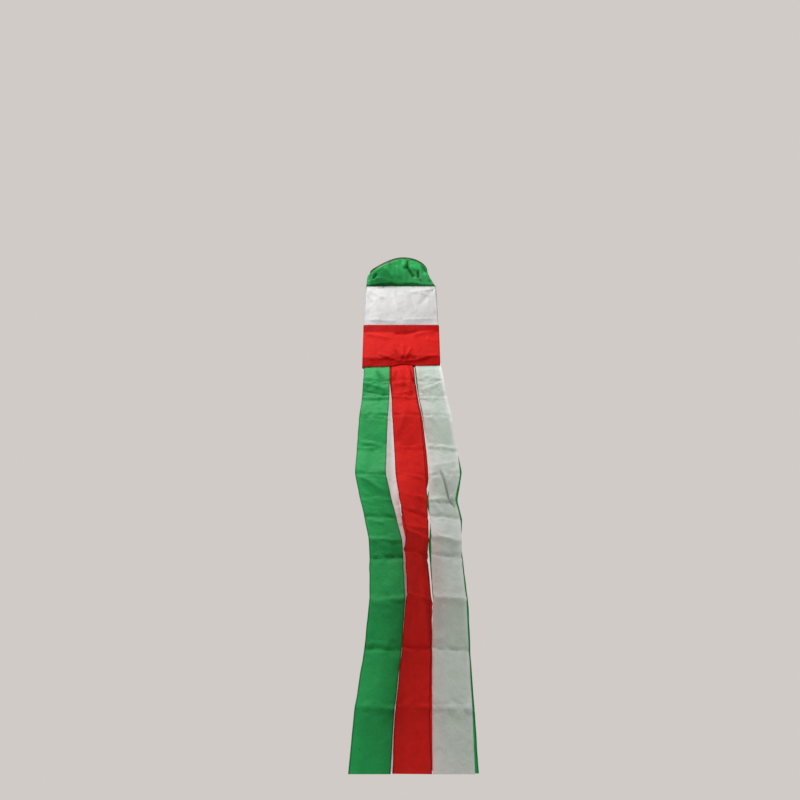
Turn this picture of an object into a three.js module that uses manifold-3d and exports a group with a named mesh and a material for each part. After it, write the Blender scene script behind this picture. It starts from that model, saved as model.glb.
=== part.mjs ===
// A striped decorative windsock hanging limp from its hoop, in millimetres, +Z up. A cloth tube in three
// bands hangs below an oval wire hoop. The hoop is tilted so that its front rim and its right end are higher,
// and it is warped, so that it droops in two places. The tube has lain flat in its packing, so it is nearly
// flat below the hoop, and six ribbon streamers hang from its tail in two layers of three.
// Origin: the tube's own axis, level with the hoop. Front is -Y.
import * as THREE from 'three';
import { LoftGeometry } from 'three/addons/geometries/LoftGeometry.js';
import { mergeVertices } from 'three/addons/utils/BufferGeometryUtils.js';
import Module from 'manifold-3d';

const wasm = await Module();
wasm.setup();

// ---- Driving dimensions ----
const FLAT_WIDTH = 241; // the tube pressed flat, 9 1/2 inches, which slips over a 6 inch hoop
const CLOTH_ROUND = FLAT_WIDTH * 2; // length of cloth round the tube
const HOOP_DEPTH = 90; // front to back of the hoop, which packing has squeezed oval
const HOOP_PLACE = [-10, 0, 4]; // middle of the hoop
const HOOP_TILT = THREE.MathUtils.degToRad(16); // front rim above the back rim
const HOOP_ROLL = THREE.MathUtils.degToRad(7); // right end above the left end
const DROOPS = [ // where the wire hangs below the hoop's plane, by angle from its right end, in degrees
  { at: 220, reach: 64, depth: 28 },
  { at: 360, reach: 70, depth: 19 },
];
const CLOTH = 0.8; // thickness of every single layer of cloth
const GAP = 0.4; // clearance between touching pieces

const SEAM_1_Z = -88; // green band to white band
const SEAM_2_Z = -268; // white band to red band
const TAIL_Z = -436; // lower edge of the red band
const SEAM_1_DEPTH = 16; // front to back of the flattened tube
const SEAM_2_DEPTH = 14;
const TAIL_DEPTH = 14;
const SEAM_FOLD = 32; // cloth turned in behind the red band's top edge
const TAIL_HEM = 38; // cloth turned up inside the red band's lower edge
const HINGE_ABOVE = 8; // cloth left out above a fold line, so that the bands can turn about it
const HINGE_BELOW = 4;

const WIRE_R = 1.5;
const SLEEVE_R = 2.7;
const SLEEVE_LENGTH = 28;
const TUNNEL_R = 3.1; // outside of the cloth tunnel that the wire runs in
const TUNNEL_BORE_R = 2.2;
const SKIRT_HEIGHT = 20; // doubled cloth under the tunnel
const CASING_GAP = 40; // opening at the back, where the wire was put in
const THREAD_R = 0.4;
const STITCHES_IN = 6; // from a folded edge of the tube to its stitching
const CASING_STITCHES = [4.2, 18.5]; // below the wire: under the tunnel, and at the skirt's lower edge

const EYELET_HOLE_R = 1.5;
const EYELET_BARREL_R = 2;
const EYELET_FLANGE_R = 3.4;
const EYELET_FLANGE_T = 0.5;
const EYELET_DROP = 10.4; // below the wire
const EYELET_FRONT_X = 33; // from the middle of the hoop

const STREAMER_LENGTH = 1016; // 40 inches along the cloth
const STREAMER_WIDTH = Math.floor(CLOTH_ROUND / 6); // six go round the tail
const STREAMER_DROP = 4; // top edge of a streamer below the tail
const LAYER_Y = TAIL_DEPTH / 2 - CLOTH; // hinge lines of the two layers of streamers

const GREEN = new THREE.Color(0x1f8a4c);
const WHITE = new THREE.Color(0xe4e5e2);
const RED = new THREE.Color(0xd0201c);

const cloth = (color) => new THREE.MeshStandardMaterial({ color, roughness: 0.75, metalness: 0 });
const steel = new THREE.MeshStandardMaterial({ color: 0x8c8f92, roughness: 0.35, metalness: 1 });
const brass = new THREE.MeshStandardMaterial({ color: 0xb9bcc0, roughness: 0.3, metalness: 1 });
const thread = (color) => new THREE.MeshStandardMaterial({ color, roughness: 0.9, metalness: 0 });

// ---- Ways of making solids ----
function welded(geometry) {
  const bare = new THREE.BufferGeometry();
  bare.setAttribute('position', geometry.getAttribute('position'));
  bare.setIndex(geometry.getIndex());
  return mergeVertices(bare, 1e-3);
}

function toSolid(geometry) {
  const g = welded(geometry);
  return new wasm.Manifold(new wasm.Mesh({
    numProp: 3,
    vertProperties: new Float32Array(g.attributes.position.array),
    triVerts: new Uint32Array(g.index.array),
  }));
}

function toGeometry(solid) {
  const { vertProperties, triVerts, numProp } = solid.getMesh();
  const buffer = new THREE.InterleavedBuffer(vertProperties, numProp);
  const geometry = new THREE.BufferGeometry();
  geometry.setAttribute('position', new THREE.InterleavedBufferAttribute(buffer, 3, 0));
  geometry.setIndex(new THREE.BufferAttribute(triVerts, 1));
  return geometry.toNonIndexed();
}

function piece(name, geometry, material) {
  const mesh = new THREE.Mesh(geometry, material);
  mesh.name = name;
  return mesh;
}

// A closed loop of sections, each a closed polygon, such as a ring or a tube's wall.
function loopLoft(sections) {
  return new LoftGeometry([...sections, sections[0]]);
}

function barLoft(sections) {
  return new LoftGeometry(sections, { capStart: true, capEnd: true });
}

// ---- The hoop's oval, which the cloth round it follows ----
function droop(angle) {
  let total = 0;
  for (const { at, reach, depth } of DROOPS) {
    const away = THREE.MathUtils.euclideanModulo(THREE.MathUtils.radToDeg(angle) - at + 180, 360) - 180;
    if (Math.abs(away) < reach) total += depth * Math.cos((away / reach) * (Math.PI / 2)) ** 2;
  }
  return total;
}

function wireLength(a, b) {
  const steps = 180;
  const points = Array.from({ length: steps + 1 }, (_, i) => {
    const angle = (i / steps) * Math.PI * 2;
    return new THREE.Vector3(a * Math.cos(angle), b * Math.sin(angle), -droop(angle));
  });
  return points.slice(1).reduce((total, point, i) => total + point.distanceTo(points[i]), 0);
}

// The half width at which a hoop of the given half depth uses all the cloth round the tube.
function hoopHalfWidth(b) {
  let a = b;
  while (wireLength(a, b) < CLOTH_ROUND) a += 0.1;
  return a;
}

const HOOP_B = HOOP_DEPTH / 2;
const HOOP_A = hoopHalfWidth(HOOP_B);

function hoopPoint(angle, offset = 0, z = 0) {
  const c = Math.cos(angle);
  const s = Math.sin(angle);
  const out = new THREE.Vector2(c / HOOP_A, s / HOOP_B).normalize();
  return new THREE.Vector3(HOOP_A * c + out.x * offset, HOOP_B * s + out.y * offset, z - droop(angle));
}

// The angle at which the hoop has gone a given length of arc from another angle.
function hoopAngle(from, arc) {
  const step = Math.sign(arc) * 0.002;
  let angle = from;
  for (let gone = 0; gone < Math.abs(arc); angle += step) {
    gone += hoopPoint(angle).distanceTo(hoopPoint(angle + step));
  }
  return angle;
}

const BACK = Math.PI / 2;

const hoopPlace = new THREE.Matrix4()
  .makeRotationFromEuler(new THREE.Euler(-HOOP_TILT, -HOOP_ROLL, 0))
  .setPosition(...HOOP_PLACE);

// ---- Hoop: wire, sleeve and the cloth casing round them ----
// A bar whose section, a list of [outward, up] points, runs round the hoop between two angles.
function hoopBar(section, from, to, steps) {
  const sections = [];
  for (let i = 0; i <= steps; i += 1) {
    const angle = THREE.MathUtils.lerp(from, to, i / steps);
    sections.push(section.map(([out, up]) => hoopPoint(angle, out, up)));
  }
  return barLoft(sections);
}

function roundSection(radius, sides) {
  return Array.from({ length: sides }, (_, i) => {
    const turn = -(i / sides) * Math.PI * 2;
    return [radius * Math.cos(turn), radius * Math.sin(turn)];
  });
}

function hoopWire() {
  const halfGap = 0.5 / HOOP_A;
  return hoopBar(roundSection(WIRE_R, 8), BACK + halfGap, BACK + 2 * Math.PI - halfGap, 64);
}

function hoopSleeve() {
  const from = hoopAngle(BACK, -SLEEVE_LENGTH / 2);
  const to = hoopAngle(BACK, SLEEVE_LENGTH / 2);
  const past = 0.05;
  const outer = toSolid(hoopBar(roundSection(SLEEVE_R, 12), from, to, 4));
  const bore = toSolid(hoopBar(roundSection(WIRE_R + GAP, 12), from - past, to + past, 6));
  return toGeometry(outer.subtract(bore));
}

const EYELETS = [
  { place: 'front', angle: -Math.acos(EYELET_FRONT_X / HOOP_A) },
  { place: 'left', angle: hoopAngle(-Math.acos(EYELET_FRONT_X / HOOP_A), -CLOTH_ROUND / 3) },
  { place: 'right', angle: hoopAngle(-Math.acos(EYELET_FRONT_X / HOOP_A), CLOTH_ROUND / 3) },
];

// Puts a shape made about +Z, standing outward from z = 0, on the casing's skirt at an eyelet.
function atEyelet(geometry, angle) {
  const centre = hoopPoint(angle, 0, -EYELET_DROP);
  const out = hoopPoint(angle, 1, -EYELET_DROP).sub(centre);
  const turn = new THREE.Quaternion().setFromUnitVectors(new THREE.Vector3(0, 0, 1), out);
  return geometry.applyMatrix4(new THREE.Matrix4().compose(centre, turn, new THREE.Vector3(1, 1, 1)));
}

function hoopCasing() {
  const from = hoopAngle(BACK, CASING_GAP / 2);
  const to = hoopAngle(BACK, -CASING_GAP / 2) + 2 * Math.PI;
  const past = 0.05;
  const tunnel = toSolid(hoopBar(roundSection(TUNNEL_R, 10), from, to, 56));
  const [top, bottom] = [-TUNNEL_BORE_R, -SKIRT_HEIGHT];
  const skirtSection = [[-CLOTH, top], [CLOTH, top], [CLOTH, bottom], [-CLOTH, bottom]];
  const skirt = toSolid(hoopBar(skirtSection, from, to, 56));
  const bore = toSolid(hoopBar(roundSection(TUNNEL_BORE_R, 10), from - past, to + past, 58));
  let casing = tunnel.add(skirt).subtract(bore);
  for (const { angle } of EYELETS) {
    const radius = EYELET_BARREL_R + GAP;
    const hole = new THREE.CylinderGeometry(radius, radius, 8, 16).rotateX(Math.PI / 2);
    casing = casing.subtract(toSolid(atEyelet(hole, angle)));
  }
  return toGeometry(casing);
}

// A row of stitching along the outside of the skirt.
function casingThread(up) {
  const from = hoopAngle(BACK, CASING_GAP / 2 + 1);
  const to = hoopAngle(BACK, -CASING_GAP / 2 - 1) + 2 * Math.PI;
  const section = roundSection(THREAD_R, 6).map(([out, z]) => [out + CLOTH + GAP + THREAD_R, z + up]);
  return hoopBar(section, from, to, 56);
}

const SKIRT_FACE = CLOTH + GAP; // clear of the skirt's face

function eyelet(angle) {
  const profile = [
    [EYELET_HOLE_R, -SKIRT_FACE - EYELET_FLANGE_T],
    [EYELET_BARREL_R, -SKIRT_FACE - EYELET_FLANGE_T],
    [EYELET_BARREL_R, SKIRT_FACE],
    [EYELET_FLANGE_R, SKIRT_FACE],
    [EYELET_FLANGE_R, SKIRT_FACE + EYELET_FLANGE_T],
    [EYELET_HOLE_R, SKIRT_FACE + EYELET_FLANGE_T],
    [EYELET_HOLE_R, -SKIRT_FACE - EYELET_FLANGE_T],
  ].map(([r, y]) => new THREE.Vector2(r, y));
  return atEyelet(new THREE.LatheGeometry(profile, 20).rotateX(Math.PI / 2), angle);
}

function eyeletWasher(angle) {
  const hole = EYELET_BARREL_R + GAP / 2;
  const profile = [
    [hole, -SKIRT_FACE - EYELET_FLANGE_T],
    [EYELET_FLANGE_R, -SKIRT_FACE - EYELET_FLANGE_T],
    [EYELET_FLANGE_R, -SKIRT_FACE],
    [hole, -SKIRT_FACE],
    [hole, -SKIRT_FACE - EYELET_FLANGE_T],
  ].map(([r, y]) => new THREE.Vector2(r, y));
  return atEyelet(new THREE.LatheGeometry(profile, 20).rotateX(Math.PI / 2), angle);
}

// ---- The tube: bands of single cloth, open at both ends ----
// Stations round the cloth, as fractions of its length from the right side, closer together at both sides.
const AROUND = 48;
const STATIONS = Array.from({ length: AROUND }, (_, i) => {
  const u = i / AROUND;
  return u - (0.6 * Math.sin(4 * Math.PI * u)) / (4 * Math.PI);
});

// A level is a list of points, one to a station. The flattened tube is two flat sides joined by round edges.
function flatPoint(depth, station) {
  const r = depth / 2;
  const straight = CLOTH_ROUND / 2 - Math.PI * r;
  const quarter = (Math.PI * r) / 2;
  const arc = (cx, angle) => new THREE.Vector2(cx + r * Math.cos(angle), r * Math.sin(angle));
  let gone = station * CLOTH_ROUND;
  if (gone < quarter) return arc(straight / 2, gone / r);
  gone -= quarter;
  if (gone < straight) return new THREE.Vector2(straight / 2 - gone, r);
  gone -= straight;
  if (gone < 2 * quarter) return arc(-straight / 2, Math.PI / 2 + gone / r);
  gone -= 2 * quarter;
  if (gone < straight) return new THREE.Vector2(-straight / 2 + gone, -r);
  return arc(straight / 2, (gone - straight) / r - Math.PI / 2);
}

function flatLevel(depth, z) {
  return STATIONS.map((station) => {
    const p = flatPoint(depth, station);
    return new THREE.Vector3(p.x, p.y, z);
  });
}

function hoopLevel(z) {
  return STATIONS.map((station) => {
    const angle = hoopAngle(0, station * CLOTH_ROUND + 1e-6);
    return hoopPoint(angle, 0, z).applyMatrix4(hoopPlace);
  });
}

// A level part of the way from one to another. The cloth spreads sideways sooner than it flattens.
function between(levelA, levelB, t, spread = t) {
  return levelA.map((a, i) => new THREE.Vector3(
    THREE.MathUtils.lerp(a.x, levelB[i].x, spread),
    THREE.MathUtils.lerp(a.y, levelB[i].y, t),
    THREE.MathUtils.lerp(a.z, levelB[i].z, t),
  ));
}

// The level moved outward, square to the cloth.
function shifted(level, distance) {
  return level.map((p, i) => {
    const along = level[(i + 1) % AROUND].clone().sub(level.at(i - 1));
    return new THREE.Vector3(along.y, -along.x, 0).setLength(distance).add(p);
  });
}

// A tube wall through the levels, from the top down: the outer face, then the inner face back up.
function wall(levels, thickness) {
  const outer = levels.map((level) => shifted(level, thickness / 2));
  const inner = levels.map((level) => shifted(level, -thickness / 2)).reverse();
  return loopLoft(STATIONS.map((_, i) => [...outer, ...inner].map((level) => level[i])));
}

function bandGreen() {
  const top = hoopLevel(-SKIRT_HEIGHT - GAP);
  const bottom = flatLevel(SEAM_1_DEPTH, SEAM_1_Z + HINGE_ABOVE);
  return wall([0, 0.2, 0.4, 0.7, 1].map((t) => between(top, bottom, t, Math.sqrt(t))), CLOTH);
}

function flatBand(topDepth, topZ, bottomDepth, bottomZ) {
  const top = flatLevel(topDepth, topZ);
  const bottom = flatLevel(bottomDepth, bottomZ);
  return wall([0, 0.33, 0.67, 1].map((t) => between(top, bottom, t)), CLOTH);
}

// A second layer of cloth inside the first.
function lining(depth, topZ, bottomZ) {
  return wall([topZ, bottomZ].map((z) => shifted(flatLevel(depth, z), -CLOTH - GAP)), CLOTH);
}

// A row of stitching, as a fine cord of thread lying round the outside of a level.
function threadRow(level) {
  const middle = shifted(level, CLOTH / 2 + GAP + THREAD_R);
  const outer = shifted(level, CLOTH / 2 + GAP + 2 * THREAD_R);
  return loopLoft(middle.map((centre, i) => {
    const out = outer[i].clone().sub(centre);
    return Array.from({ length: 6 }, (_, k) => {
      const turn = (k / 6) * Math.PI * 2;
      return centre.clone().addScaledVector(out, Math.cos(turn)).setZ(centre.z - THREAD_R * Math.sin(turn));
    });
  }));
}

// ---- Streamers ----
// Each hangs in panels between the creases of its packing, which take up a little of its length. A crease is
// [distance down, centre x, width folded under, degrees of twist, distance out from the layer's plane].
const STREAMERS = [
  { name: 'streamer_front_left_green', color: GREEN, creases: [
    [0, -73, 3, 0, 0], [60, -73, 2, 0, 3], [121, -74, 1, 0, 0], [187, -78, 0, 0, 4],
    [289, -80, 0, 0, 1], [375, -80, 0, 0, 7], [443, -64, 0, 4, 2], [489, -52, 0, 6, 1],
    [549, -39, 0, 4, 4], [591, -36, 0, 2, 2], [690, -32, 0, 0, 7], [790, -40, 0, 4, 2],
    [900, -54, 0, 6, 6], [STREAMER_LENGTH - 8, -62, 0, 0, 3],
  ] },
  { name: 'streamer_front_middle_red', color: RED, creases: [
    [0, 2, 14, 0, 0], [60, 5, 10, 4, 3], [121, 8, 7, 6, 1], [187, 14, 0, 4, 5],
    [289, 20, 0, 0, 2], [375, 24, 0, 8, 5], [443, 29, 0, 26, 4], [489, 32, 0, 37, 3],
    [549, 38, 0, 48, 4], [591, 34, 0, 49, 4], [690, 38, 0, 46, 4], [790, 32, 0, 40, 3],
    [900, 22, 0, 30, 5], [STREAMER_LENGTH - 8, 18, 0, 20, 3],
  ] },
  { name: 'streamer_front_right_white', color: WHITE, creases: [
    [0, 81, 3, 0, 0], [60, 86, 2, 0, 2], [121, 92, 0, 0, 0], [187, 101, 0, 0, 4],
    [289, 110, 0, 0, 1], [375, 111, 0, 0, 7], [443, 101, 14, 0, 3], [489, 107, 4, 4, 1],
    [549, 106, 2, 18, 4], [591, 104, 0, 22, 2], [690, 106, 0, 20, 6], [790, 104, 0, 10, 1],
    [900, 100, 0, 2, 5], [STREAMER_LENGTH - 8, 98, 0, 0, 2],
  ] },
  { name: 'streamer_back_right_green', color: GREEN, creases: [
    [0, 78, 5, 0, 0], [60, 84, 2, 0, 2], [121, 93, 0, 0, 3], [187, 102, 0, 0, 2],
    [289, 114, 0, 0, 5], [345, 122, 0, 0, 8], [432, 104, 0, 4, 4], [480, 113, 0, 0, 8],
    [549, 106, 0, 8, 4], [591, 108, 0, 0, 6], [690, 112, 0, 0, 3], [790, 110, 0, 2, 8],
    [900, 109, 0, 0, 4], [STREAMER_LENGTH - 10, 109, 0, 0, 6],
  ] },
  { name: 'streamer_back_middle_red', color: RED, creases: [
    [0, 0, 4, 0, 0], [60, 5, 3, 0, 3], [121, 12, 2, 0, 4], [187, 21, 1, 0, 2],
    [289, 30, 2, 0, 5], [375, 33, 0, 16, 4], [443, 27, 0, 44, 4], [489, 34, 0, 42, 4],
    [549, 38, 0, 52, 4], [591, 38, 0, 50, 4], [690, 43, 0, 50, 3], [790, 40, 0, 48, 4],
    [900, 38, 0, 44, 3], [STREAMER_LENGTH - 14, 36, 0, 40, 4],
  ] },
  { name: 'streamer_back_left_white', color: WHITE, creases: [
    [0, -78, 4, 0, 0], [60, -75, 2, 0, 2], [121, -70, 0, 0, 4], [187, -62, 0, 0, 2],
    [289, -53, 0, 0, 5], [375, -49, 0, 0, 7], [443, -45, 0, 4, 5], [489, -38, 0, 2, 7],
    [549, -28, 0, 0, 4], [591, -29, 0, 0, 6], [690, -25, 0, 0, 3], [790, -29, 0, 2, 7],
    [900, -34, 0, 0, 4], [STREAMER_LENGTH - 12, -38, 0, 0, 6],
  ] },
];

// A strip through sections of four corners each: back left, back right, front right, front left. Its front
// and back faces are split into triangles the same way, so that they stay apart where the strip twists.
function strip(sections) {
  const index = [0, 3, 2, 0, 2, 1];
  for (let i = 0; i < sections.length - 1; i += 1) {
    for (let j = 0; j < 4; j += 1) {
      const [a, b] = [4 * i + j, 4 * i + ((j + 1) % 4)];
      const [c, d] = [b + 4, a + 4];
      index.push(...(j === 0 ? [a, b, c, a, c, d] : [a, b, d, b, c, d]));
    }
  }
  const end = 4 * (sections.length - 1);
  index.push(end, end + 1, end + 2, end, end + 2, end + 3);
  return new THREE.BufferGeometry().setFromPoints(sections.flat()).setIndex(index);
}

function streamer({ name, creases }) {
  const side = name.includes('front') ? -1 : 1;
  const sections = creases.map(([drop, x, folded, degrees, out]) => {
    const twist = THREE.MathUtils.degToRad(degrees);
    const half = (STREAMER_WIDTH - folded) / 2;
    const across = new THREE.Vector3(Math.cos(twist), -side * Math.sin(twist), 0).multiplyScalar(half);
    const y = side * (LAYER_Y + out + Math.abs(across.y));
    const middle = new THREE.Vector3(x, y, TAIL_Z - STREAMER_DROP - drop);
    const front = new THREE.Vector3(across.y, -across.x, 0).setLength(CLOTH / 2);
    const corner = (edge, face) => middle.clone().addScaledVector(across, edge).addScaledVector(front, face);
    return [corner(-1, -1), corner(1, -1), corner(1, 1), corner(-1, 1)];
  });
  return strip(sections);
}

// ---- Assembly ----
const windsock = new THREE.Group();

const hoop = new THREE.Group();
hoop.applyMatrix4(hoopPlace);
hoop.add(
  piece('hoop_wire', hoopWire(), steel),
  piece('hoop_sleeve', hoopSleeve(), steel),
  piece('hoop_casing', hoopCasing(), cloth(GREEN)),
  piece('thread_casing_upper', casingThread(-CASING_STITCHES[0]), thread(GREEN)),
  piece('thread_casing_lower', casingThread(-CASING_STITCHES[1]), thread(GREEN)),
);
for (const { place, angle } of EYELETS) {
  hoop.add(
    piece(`eyelet_${place}`, eyelet(angle), brass),
    piece(`eyelet_${place}_washer`, eyeletWasher(angle), brass),
  );
}
windsock.add(hoop);

const whiteTop = SEAM_1_Z - HINGE_BELOW;
const whiteBottom = SEAM_2_Z + HINGE_ABOVE;
const redTop = SEAM_2_Z - HINGE_BELOW;
windsock.add(
  piece('band_green', bandGreen(), cloth(GREEN)),
  piece('band_white', flatBand(SEAM_1_DEPTH, whiteTop, SEAM_2_DEPTH, whiteBottom), cloth(WHITE)),
  piece('band_red', flatBand(SEAM_2_DEPTH, redTop, TAIL_DEPTH, TAIL_Z), cloth(RED)),
  piece('seam_fold', lining(SEAM_2_DEPTH, redTop - 1, redTop - SEAM_FOLD), cloth(RED)),
  piece('tail_hem', lining(TAIL_DEPTH, TAIL_Z + TAIL_HEM, TAIL_Z + 1), cloth(RED)),
  piece('thread_upper_seam', threadRow(flatLevel(SEAM_1_DEPTH, whiteTop - STITCHES_IN)), thread(WHITE)),
  piece('thread_lower_seam', threadRow(flatLevel(SEAM_2_DEPTH, redTop - STITCHES_IN)), thread(RED)),
  piece('thread_tail', threadRow(flatLevel(TAIL_DEPTH, TAIL_Z + TAIL_HEM - STITCHES_IN)), thread(RED)),
);
for (const spec of STREAMERS) {
  windsock.add(piece(spec.name, streamer(spec), cloth(spec.color)));
}

export default windsock;
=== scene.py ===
"""A striped windsock hanging limp from its oval hoop, seen from below: a cloth tube in green, white and
red bands, and six ribbon streamers in two layers. The cloth is built as surfaces in metres, from the frame's
own dimensions."""

import math

import bpy
import numpy as np
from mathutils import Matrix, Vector


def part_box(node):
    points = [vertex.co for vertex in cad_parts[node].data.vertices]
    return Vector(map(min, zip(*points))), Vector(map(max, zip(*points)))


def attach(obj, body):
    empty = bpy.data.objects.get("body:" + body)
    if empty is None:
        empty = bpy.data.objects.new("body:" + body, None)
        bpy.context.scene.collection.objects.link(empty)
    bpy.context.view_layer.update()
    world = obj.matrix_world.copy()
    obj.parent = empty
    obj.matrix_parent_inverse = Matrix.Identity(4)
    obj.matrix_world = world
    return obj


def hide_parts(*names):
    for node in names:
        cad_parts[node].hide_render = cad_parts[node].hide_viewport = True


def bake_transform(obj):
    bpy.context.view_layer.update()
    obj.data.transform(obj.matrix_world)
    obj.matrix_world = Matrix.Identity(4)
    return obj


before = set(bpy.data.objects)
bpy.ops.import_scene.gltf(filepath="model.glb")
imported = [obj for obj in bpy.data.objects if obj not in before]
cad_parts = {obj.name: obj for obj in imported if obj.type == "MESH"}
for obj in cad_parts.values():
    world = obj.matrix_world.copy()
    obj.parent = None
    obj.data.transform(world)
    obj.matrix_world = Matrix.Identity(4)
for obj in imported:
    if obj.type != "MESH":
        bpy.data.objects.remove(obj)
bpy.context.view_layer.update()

MM = 0.001

# ---- Camera: close below the streamers' ends, looking up ----
CAMERA_PLACE = (-0.004, -1.242, -1.4746)
CAMERA_PITCH = math.radians(36.3)

camera = bpy.data.objects.new("camera", bpy.data.cameras.new("camera"))
camera.data.lens = 24
camera.data.sensor_width = 36
camera.location = CAMERA_PLACE
camera.rotation_euler = (math.pi / 2 + CAMERA_PITCH, 0, 0)
bpy.context.scene.collection.objects.link(camera)
bpy.context.scene.camera = camera

# ---- Dimensions ----
def low_high(node):
    low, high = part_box(node)
    return np.array(low), np.array(high)


# The two seams and the lower edge stand where the CAD model has them
SEAM_1 = (low_high("band_green")[0][2] + low_high("band_white")[1][2]) / 2
SEAM_2 = (low_high("band_white")[0][2] + low_high("band_red")[1][2]) / 2
TAIL = low_high("band_red")[0][2]
ROUND = 482 * MM  # cloth round the tube, and wire round the hoop
HOOP_B = 45 * MM  # half depth of the hoop
HOOP_PLACE = np.array([-10, 0, 4]) * MM
HOOP_TILT = math.radians(16)  # front rim up
HOOP_ROLL = math.radians(7)  # right end up
DROOPS = ((220, 64, 28 * MM), (360, 70, 19 * MM))  # where the wire hangs low: angle, reach and depth
SKIRT = 20 * MM  # doubled cloth under the hoop
CASING_GAP = 40 * MM
TUNNEL_R = 2.5 * MM
PLY = 0.6 * MM  # from the middle of one layer to the middle of the next
CASING_STITCHES = (4.2 * MM, 18.5 * MM)  # below the wire
SEAM_STITCHES = 5 * MM  # from a seam down to its stitching
STITCHES_IN = 6 * MM  # from the folded edge of the tail hem to its stitching
SEAM_FOLD = 32 * MM  # cloth turned in at the red band's upper edge
TAIL_HEM = 38 * MM  # cloth turned up inside its lower edge
# Depth of the flattened tube, from front to back
BAND_DEPTH = {"seam_1": 12 * MM, "seam_2": 9 * MM, "tail": 10 * MM}
GREEN_HALF = 119.5 * MM  # half width of the green band's flattened lower edge
WHITE_HALF = (119.3 * MM, 120 * MM)  # the same at the white band's top and bottom
RED_HALF = (121.6 * MM, 118.6 * MM)  # the same at the red band's top and bottom
TAIL_SLOPE = 4 * MM  # the tail is this much lower at its left end, and higher at its right

# ---- Smooth noise, with its own seeds ----
def noise(x, y, seed):
    """Smooth noise from -1 to 1 on a lattice of whole numbers."""
    table = np.random.default_rng(seed).uniform(-1, 1, (64, 64))
    x, y = np.broadcast_arrays(np.asarray(x, float), np.asarray(y, float))
    xi, yi = np.floor(x).astype(int), np.floor(y).astype(int)
    fx, fy = x - xi, y - yi
    fx, fy = fx * fx * (3 - 2 * fx), fy * fy * (3 - 2 * fy)

    def at(dx, dy):
        return table[(xi + dx) % 64, (yi + dy) % 64]

    top = at(0, 0) * (1 - fx) + at(1, 0) * fx
    bottom = at(0, 1) * (1 - fx) + at(1, 1) * fx
    return top * (1 - fy) + bottom * fy


def rumple(x, y, size, seed, octaves=3):
    """Fractal noise whose largest features are about size across."""
    total = 0
    for k in range(octaves):
        total = total + noise(x * 2**k / size + 7.3 * k, y * 2**k / size + 3.1 * k, seed + k) / 2**k
    return total


def smooth(t):
    t = np.clip(t, 0, 1)
    return t * t * (3 - 2 * t)


def fold_lines(x, z, lines):
    """Height of sharp little folds. A line is (x, z, x, z, height, width) in mm, and tapers off at both
    ends."""
    total = np.zeros(np.broadcast(x, z).shape)
    for x0, z0, x1, z1, height, width in np.array(lines, float) * MM:
        dx, dz = x1 - x0, z1 - z0
        along = ((x - x0) * dx + (z - z0) * dz) / (dx * dx + dz * dz)
        away = ((x - x0) * -dz + (z - z0) * dx) / math.hypot(dx, dz)
        ends = smooth((along + 0.15) / 0.3) * smooth((1.15 - along) / 0.3)
        total += height * ends * np.exp(-np.abs(away / width) ** 1.3)
    return total


# ---- Meshes from grids of points ----
def cloth_mesh(name, points, flat, crease, wrap=False, keep=None):
    """A quad mesh through a grid of points. flat, the same points on the flat cloth in metres, is its UV map,
    and crease says how deep in a fold each point is, from 0 to 1, which sets the shade the material paints
    there."""
    rows, cols = points.shape[:2]
    last = cols if wrap else cols - 1
    r, c = np.meshgrid(np.arange(rows - 1), np.arange(last), indexing="ij")
    r, c = r.ravel(), c.ravel()
    if keep is not None:
        chosen = keep[r, c]
        r, c = r[chosen], c[chosen]
    corners = [(r, c), (r + 1, c), (r + 1, c + 1), (r, c + 1)]
    quads = np.stack([i * cols + j % cols for i, j in corners], 1)
    used = np.unique(quads)
    index = np.full(rows * cols, -1)
    index[used] = np.arange(len(used))
    mesh = bpy.data.meshes.new(name)
    mesh.from_pydata(points.reshape(-1, 3)[used], [], index[quads].tolist())
    uv = np.stack([flat[i, j] for i, j in corners], 1).reshape(-1, 2)
    mesh.uv_layers.new(name="cloth").data.foreach_set("uv", uv.astype(np.float32).ravel())
    depth = np.clip(crease, 0, 1).reshape(-1)[used].astype(np.float32)
    mesh.attributes.new("crease", "FLOAT", "POINT").data.foreach_set("value", depth)
    mesh.polygons.foreach_set("use_smooth", [True] * len(mesh.polygons))
    obj = bpy.data.objects.new(name, mesh)
    bpy.context.scene.collection.objects.link(obj)
    return obj


# ---- The tube ----
AROUND = 288
TURN = np.arange(AROUND) / AROUND
STATIONS = TURN - 0.6 * np.sin(4 * math.pi * TURN) / (4 * math.pi)  # closer together at the sides
FRONT = smooth((-np.sin(2 * math.pi * STATIONS) - 0.02) / 0.2)  # 1 where a ring faces front, 0 at the back
DEEP_FOLD = 5 * MM  # a fold this deep gets the full shade painted into folds


def flat_section(depth, half_width):
    """The flattened tube at the stations: two flat sides joined by round edges, as x and y."""
    r = depth / 2
    straight = ROUND / 2 - math.pi * r
    gone = STATIONS * ROUND + math.pi * r / 2
    x, y = np.zeros(AROUND), np.zeros(AROUND)
    for side, start in ((1, 0), (-1, ROUND / 2), (1, ROUND)):
        on_edge = (gone >= start) & (gone < start + math.pi * r)
        angle = (gone[on_edge] - start) / r - math.pi / 2
        x[on_edge] = side * (straight / 2 + r * np.cos(angle))
        y[on_edge] = side * r * np.sin(angle)
        on_flat = (gone >= start + math.pi * r) & (gone < start + ROUND / 2)
        x[on_flat] = side * (straight / 2 - (gone[on_flat] - start - math.pi * r))
        y[on_flat] = side * r
    return x * (half_width / x.max()), y


def droop(angle):
    total = 0
    for middle, reach, depth in DROOPS:
        away = (np.degrees(angle) - middle + 180) % 360 - 180
        total = total + np.where(np.abs(away) < reach, depth * np.cos(away / reach * math.pi / 2) ** 2, 0)
    return total


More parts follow.
